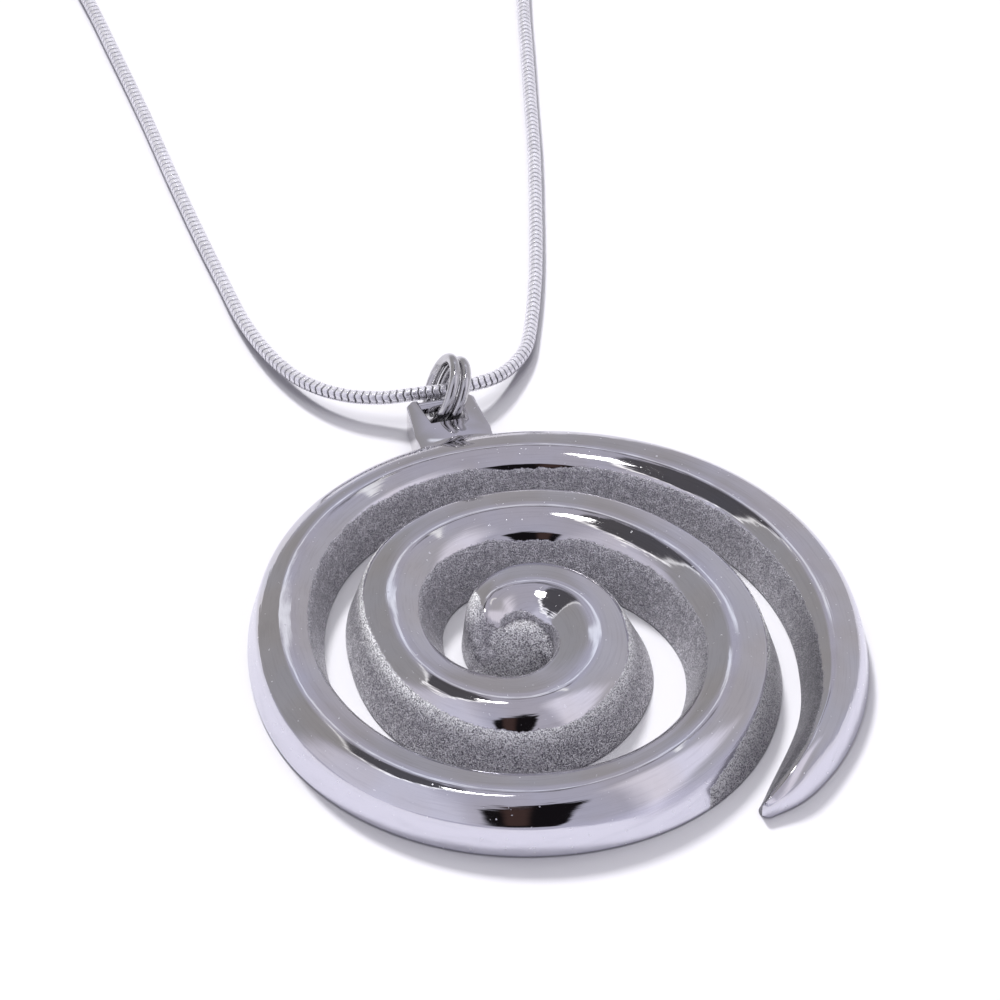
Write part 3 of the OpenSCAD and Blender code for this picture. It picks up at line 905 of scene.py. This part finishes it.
def drawn_steel(name, colour, rough, scratch_size, metallic=1.0):
    """Drawn or turned stainless steel: an even sheen with faint wear and fine marks. A value
    under 1 for metallic stands for marks too fine to see, which scatter the light."""
    material, tree, shader, place = steel_material(name)
    shader.inputs["Metallic"].default_value = metallic
    wear = ranged(tree, grain(tree, place, 1.3, 3, 0.6, 1.0), 0.35, 0.7, 0.0, 1.0)
    dim = [c * 0.86 for c in colour[:3]] + [1]
    tree.links.new(blend(tree, wear, colour, dim), shader.inputs["Base Color"])
    marks = grain(tree, place, scratch_size, 3, 0.6, 2.0)
    tree.links.new(ranged(tree, marks, 0.3, 0.75, rough * 0.7, rough * 1.5), shader.inputs["Roughness"])
    tree.links.new(bumped(tree, marks, 0.008, 0.5), shader.inputs["Normal"])
    return material


class NECKLACE_OT_pendant(Operator):
    """Make the cast spiral pendant with its lug"""

    bl_idname = "necklace.pendant"
    bl_label = "Spiral Pendant"

    def execute(self, context):
        settings = context.scene.necklace_pendant
        height = settings.crest_height / MM / DRAWN_CREST
        band = band_mesh(settings.station_step, height)
        meshes = [band, core_mesh(height), lug_mesh(settings), lug_blend_mesh(settings, height)]
        piece = join_meshes("cast_spiral_pendant", meshes)
        finish_piece(piece, cast_steel(settings), "spiral_pendant")
        return {"FINISHED"}


class NECKLACE_OT_jump_rings(Operator):
    """Make the two jump rings that join the lug and the chain"""

    bl_idname = "necklace.jump_rings"
    bl_label = "Jump Rings"

    def execute(self, context):
        settings = context.scene.necklace_rings
        material = drawn_steel("polished_steel_wire", settings.colour, 0.16, 0.25)
        for word, side in (("left", 1), ("right", -1)):
            place = (
                lug_frame(1) @ Matrix.Translation(JUMP_RINGS_AT)
                @ Matrix.Rotation(math.radians(JUMP_RING_TURN), 4, "Z")
                @ Matrix.Rotation(settings.lean, 4, "X")
                @ Matrix.Translation((0, side * settings.pitch / MM / 2, 0))
                @ Matrix.Rotation(math.radians(90), 4, "X")
            )
            points, faces = torus_points(settings.radius / MM, settings.wire / MM, place)
            piece = new_object("wire_jump_ring_" + word, mesh_from("jump_ring", points, faces))
            finish_piece(piece, material, "jump_ring_" + word)
        return {"FINISHED"}


def route_points():
    """Close points along the chain's smooth route, in metres."""
    spots = [Vector(p) for p in ROUTE]
    last = len(spots) - 1

    def way(i):
        before, after = max(i - 1, 0), min(i + 1, last)
        return (spots[after] - spots[before]) / (after - before)

    points = []
    for i in range(last):
        n = max(2, math.ceil((spots[i + 1] - spots[i]).length / 0.4))
        for k in range(n):
            points.append(smooth_between(k / n, 1, spots[i], way(i), spots[i + 1], way(i + 1)))
    points.append(spots[last])
    return [p * MM for p in points]


def link_mesh(width, pitch):
    """One link of a snake chain: a short waved ring with two ribs, nested in the next link. Its
    sizes are in millimetres."""
    around = 16
    outline = [(0.46, -0.5), (0.5, -0.28), (0.475, 0.0), (0.5, 0.28), (0.46, 0.5)]
    points = []
    for turn in turns(around):
        wave = 0.12 * math.cos(4 * turn)
        for radius, along in outline:
            reach = radius * width
            points.append((reach * math.cos(turn), reach * math.sin(turn), (along + wave) * pitch))
    return mesh_from("snake_link", points, grid_faces(around, len(outline), closed=True))


def links_tree():
    """Geometry Nodes that set links one behind the other along a curve."""
    tree = bpy.data.node_groups.new("Links along a route", "GeometryNodeTree")
    sockets = [
        ("Geometry", "INPUT", "Geometry"), ("Link", "INPUT", "Object"), ("Pitch", "INPUT", "Float"),
        ("Steel", "INPUT", "Material"), ("Geometry", "OUTPUT", "Geometry"),
    ]
    for name, side, kind in sockets:
        tree.interface.new_socket(name, in_out=side, socket_type="NodeSocket" + kind)
    given = add_node(tree, "NodeGroupInput").outputs
    upright = add_node(tree, "GeometryNodeSetCurveNormal", [("Curve", given["Geometry"])])
    upright.mode = "Z_UP"
    even = add_node(
        tree, "GeometryNodeResampleCurve",
        [("Curve", upright.outputs[0]), ("Length", given["Pitch"])], mode="LENGTH")
    spots = add_node(tree, "GeometryNodeCurveToPoints", [("Curve", even.outputs[0])], mode="EVALUATED")
    link = add_node(tree, "GeometryNodeObjectInfo", [("Object", given["Link"]), ("As Instance", True)])
    links = add_node(
        tree, "GeometryNodeInstanceOnPoints",
        [("Points", spots.outputs["Points"]), ("Instance", link.outputs["Geometry"]),
         ("Rotation", spots.outputs["Rotation"])])
    real = add_node(tree, "GeometryNodeRealizeInstances", [("Geometry", links.outputs[0])])
    dressed = add_node(
        tree, "GeometryNodeSetMaterial", [("Geometry", real.outputs[0]), ("Material", given["Steel"])])
    add_node(tree, "NodeGroupOutput", [("Geometry", dressed.outputs[0])])
    return tree


def grown_mesh(name, start, tree, inputs):
    """The plain mesh that a Geometry Nodes tree makes from a start object, with its named
    inputs set. The modifier and the start object are gone afterwards."""
    modifier = start.modifiers.new(tree.name, "NODES")
    modifier.node_group = tree
    for item in tree.interface.items_tree:
        if item.in_out == "INPUT" and item.name in inputs:
            modifier[item.identifier] = inputs[item.name]
    start.update_tag()
    bpy.context.view_layer.update()
    ready = start.evaluated_get(bpy.context.evaluated_depsgraph_get())
    mesh = bpy.data.meshes.new_from_object(ready)
    mesh.name = name
    start.modifiers.clear()
    bpy.data.objects.remove(start)
    return mesh


class NECKLACE_OT_chain(Operator):
    """Make the snake chain, link by link along its route"""

    bl_idname = "necklace.chain"
    bl_label = "Snake Chain"

    def execute(self, context):
        settings = context.scene.necklace_chain
        material = drawn_steel("snake_chain_steel", settings.colour, 0.24, 0.2, 0.75)
        points = route_points()
        curve = bpy.data.curves.new("chain_route", "CURVE")
        curve.dimensions = "3D"
        spline = curve.splines.new("POLY")
        spline.points.add(len(points) - 1)
        for spot, point in zip(spline.points, points):
            spot.co = (*point, 1)
        route = new_object("chain_route", curve)
        link = new_object("snake_link", link_mesh(settings.width / MM, settings.pitch / MM))
        tree = links_tree()
        mesh = grown_mesh(
            "snake_chain", route, tree,
            {"Link": link, "Pitch": settings.pitch, "Steel": material})
        bpy.data.objects.remove(link)
        if len(mesh.polygons) < LEAST_CHAIN_FACES:
            raise RuntimeError("the chain's links were not made")
        finish_piece(new_object("snake_chain", mesh), material, "chain")
        return {"FINISHED"}


class NECKLACE_OT_clasp(Operator):
    """Make the end caps, the small rings and the barrel clasp behind the chain"""

    bl_idname = "necklace.clasp"
    bl_label = "Clasp and End Caps"

    def execute(self, context):
        settings = context.scene.necklace_clasp
        steel = drawn_steel("turned_clasp_steel", settings.colour, 0.18, 0.3)
        wire = drawn_steel("small_ring_steel", settings.colour, 0.16, 0.25)
        cap = settings.cap_length / MM
        wide = settings.cap_width / MM / 2
        ring = settings.ring_radius / MM
        cap_reach = CHAIN_END_GAP + cap - CAP_BORE_DEPTH
        eye_reach = cap_reach + EYE_RADIUS
        ring_reach = eye_reach + ring
        clasp_eye_reach = ring_reach + ring
        barrel_reach = clasp_eye_reach + EYE_RADIUS
        upright = Matrix.Rotation(math.radians(90), 4, "X")
        first, last = Vector(ROUTE[0]), Vector(ROUTE[-1])

        for word, at, turn in (("left", first, 0), ("right", last, math.pi)):
            place = Matrix.Translation(at) @ Matrix.Rotation(turn, 4, "Z")
            start = cap_reach - cap
            bore = CAP_BORE / 2
            profile = [
                (start + CAP_BORE_DEPTH, 0), (start + CAP_BORE_DEPTH, bore), (start + 0.08, bore),
                (start, bore + 0.07), (start, wide - 0.1), (start + 0.1, wide), (start + 0.7, wide),
                (start + 0.75, wide - 0.05), (start + 0.85, wide - 0.05), (start + 0.9, wide),
                (cap_reach - 0.35, wide), (cap_reach - 0.1, wide - 0.12), (cap_reach, wide - 0.4),
                (cap_reach, 0),
            ]
            body = turned_points(profile, place)
            eye = torus_points(
                EYE_RADIUS, EYE_WIRE, place @ Matrix.Translation((eye_reach, 0, 0)) @ upright, 48, 16)
            mesh = mesh_from("end_cap", *gather([body, eye]))
            mesh.set_sharp_from_angle(angle=math.radians(40))
            piece = new_object("turned_end_cap_" + word, mesh)
            finish_piece(piece, steel, "end_cap_" + word)
            small = Matrix.Translation(at + Vector((ring_reach if turn == 0 else -ring_reach, 0, 0)))
            points, faces = torus_points(ring, settings.ring_wire / MM, small, 64, 20)
            piece = new_object("wire_clasp_ring_" + word, mesh_from("clasp_ring", points, faces))
            finish_piece(piece, wire, "clasp_ring_" + word)

        long = last.x - first.x - 2 * barrel_reach
        r = settings.barrel_width / MM / 2
        place = Matrix.Translation(first + Vector((barrel_reach, 0, 0)))
        middle = long / 2
        half = [(0, 0), (0, r - 0.5), (0.1, r - 0.28), (0.25, r - 0.12), (0.5, r), (1.1, r),
                (1.16, r - 0.07), (1.3, r - 0.07), (1.36, r), (middle - 0.12, r),
                (middle, r - 0.1)]
        profile = half + [(long - x, y) for x, y in half[-2::-1]]
        body = turned_points(profile, place)
        eyes = [
            torus_points(EYE_RADIUS, EYE_WIRE, place @ Matrix.Translation((x, 0, 0)) @ upright, 48, 16)
            for x in (-EYE_RADIUS, long + EYE_RADIUS)
        ]
        mesh = mesh_from("barrel_clasp", *gather([body] + eyes))
        mesh.set_sharp_from_angle(angle=math.radians(40))
        finish_piece(new_object("barrel_clasp", mesh), steel, "clasp")
        return {"FINISHED"}


class NECKLACE_OT_stage(Operator):
    """Make the white floor, the lights and the camera"""

    bl_idname = "necklace.stage"
    bl_label = "Stage"

    def execute(self, context):
        settings = context.scene.necklace_stage
        scene = context.scene
        scene.view_settings.view_transform = "Standard"
        self.make_floor(settings)
        self.make_surroundings(scene, settings)
        self.make_key(settings)
        self.make_camera(scene, settings)
        return {"FINISHED"}

    def make_floor(self, settings):
        """A wide white floor just under the pendant's back."""
        corners = ((-1, -1), (1, -1), (1, 1), (-1, 1))
        points = [(x * FLOOR_REACH, y * FLOOR_REACH, -FLOOR_DROP) for x, y in corners]
        floor = new_object("white_floor", mesh_from("white_floor", points, [(0, 1, 2, 3)]))
        material = bpy.data.materials.new("white_card")
        material.use_nodes = True
        shader = material.node_tree.nodes["Principled BSDF"]
        shader.inputs["Base Color"].default_value = settings.floor
        shader.inputs["Roughness"].default_value = 0.9
        shader.inputs["Specular IOR Level"].default_value = 0.0
        floor.data.materials.append(material)

    def make_surroundings(self, scene, settings):
        """Soft light from all sides, with the cards and lamps that the steel mirrors."""
        world = bpy.data.worlds.new("studio")
        world.use_nodes = True
        tree = world.node_tree
        tree.nodes.clear()
        way = add_node(tree, "ShaderNodeTexCoord").outputs["Object"]
        parts = add_node(tree, "ShaderNodeSeparateXYZ", [(0, way)]).outputs
        tilt = sum_up(tree, "MULTIPLY", sum_up(tree, "ARCCOSINE", parts["Z"], 0.0), math.degrees(1))
        level = add_node(tree, "ShaderNodeCombineXYZ", [("X", parts["X"]), ("Y", parts["Y"])])
        spot = scaled(tree, vector_sum(tree, "NORMALIZE", level.outputs[0]), tilt)
        colour = [c * settings.sky_strength for c in settings.surroundings[:3]] + [1]
        for kind, code, strength, soft, points, width in STUDIO:
            if kind == "card":
                share = card_share(tree, spot, points, soft)
            else:
                share = path_share(tree, spot, points, width, soft)
            lit = [c * strength for c in linear(code)[:3]] + [1]
            colour = blend(tree, share, colour, lit)
        back = add_node(tree, "ShaderNodeBackground", [("Color", colour), ("Strength", 1.0)])
        add_node(tree, "ShaderNodeOutputWorld", [("Surface", back.outputs[0])])
        scene.world = world

    def make_key(self, settings):
        """The key light, from beyond the pendant and a little to the left, and the broad light
        overhead that softens its shadows."""
        lamps = [
            ("key_light", settings.key_strength, settings.key_angle, KEY_FROM),
            ("fill_light", settings.fill_strength, math.radians(FILL_SIZE), FILL_FROM),
        ]
        for name, power, size, towards in lamps:
            data = bpy.data.lights.new(name, "SUN")
            data.energy = power
            data.angle = size
            lamp = new_object(name, data)
            lamp.rotation_euler = Vector(towards).to_track_quat("Z", "Y").to_euler()
            lamp.visible_glossy = False

    def make_camera(self, scene, settings):
        """The camera, looking down at the middle of the photographed part."""
        data = bpy.data.cameras.new("camera")
        data.sensor_width = 36
        data.lens = settings.lens
        data.clip_start = 0.01
        data.clip_end = 20
        camera = new_object("camera", data)
        e = settings.elevation
        camera.location = Vector(AIM) * MM + settings.distance * Vector((0, -math.cos(e), math.sin(e)))
        camera.rotation_euler = (math.pi / 2 - e, 0, 0)
        scene.camera = camera


class NECKLACE_PT_panel(Panel):
    """Lists the necklace's pieces and their settings"""

    bl_idname = "NECKLACE_PT_panel"
    bl_label = "Spiral Pendant Necklace"
    bl_space_type = "VIEW_3D"
    bl_region_type = "UI"
    bl_category = "Necklace"

    def draw(self, context):
        for operator, name, group in PIECES:
            box = self.layout.box()
            box.operator(operator.bl_idname)
            settings = getattr(context.scene, name)
            for field in group.__annotations__:
                box.prop(settings, field)


PIECES = [
    (NECKLACE_OT_stage, "necklace_stage", StageSettings),
    (NECKLACE_OT_pendant, "necklace_pendant", PendantSettings),
    (NECKLACE_OT_jump_rings, "necklace_rings", RingSettings),
    (NECKLACE_OT_chain, "necklace_chain", ChainSettings),
    (NECKLACE_OT_clasp, "necklace_clasp", ClaspSettings),
]


def register():
    """Registers the settings, the operators and the panel."""
    for operator, name, group in PIECES:
        bpy.utils.register_class(group)
        bpy.utils.register_class(operator)
        setattr(bpy.types.Scene, name, PointerProperty(type=group))
    bpy.utils.register_class(NECKLACE_PT_panel)


def unregister():
    """Takes out what register put in."""
    bpy.utils.unregister_class(NECKLACE_PT_panel)
    for operator, name, group in PIECES[::-1]:
        delattr(bpy.types.Scene, name)
        bpy.utils.unregister_class(operator)
        bpy.utils.unregister_class(group)


def main():
    """Makes the stage and every piece."""
    register()
    bpy.ops.necklace.stage()
    bpy.ops.necklace.pendant()
    bpy.ops.necklace.jump_rings()
    bpy.ops.necklace.chain()
    bpy.ops.necklace.clasp()


if __name__ == "__main__":
    main()
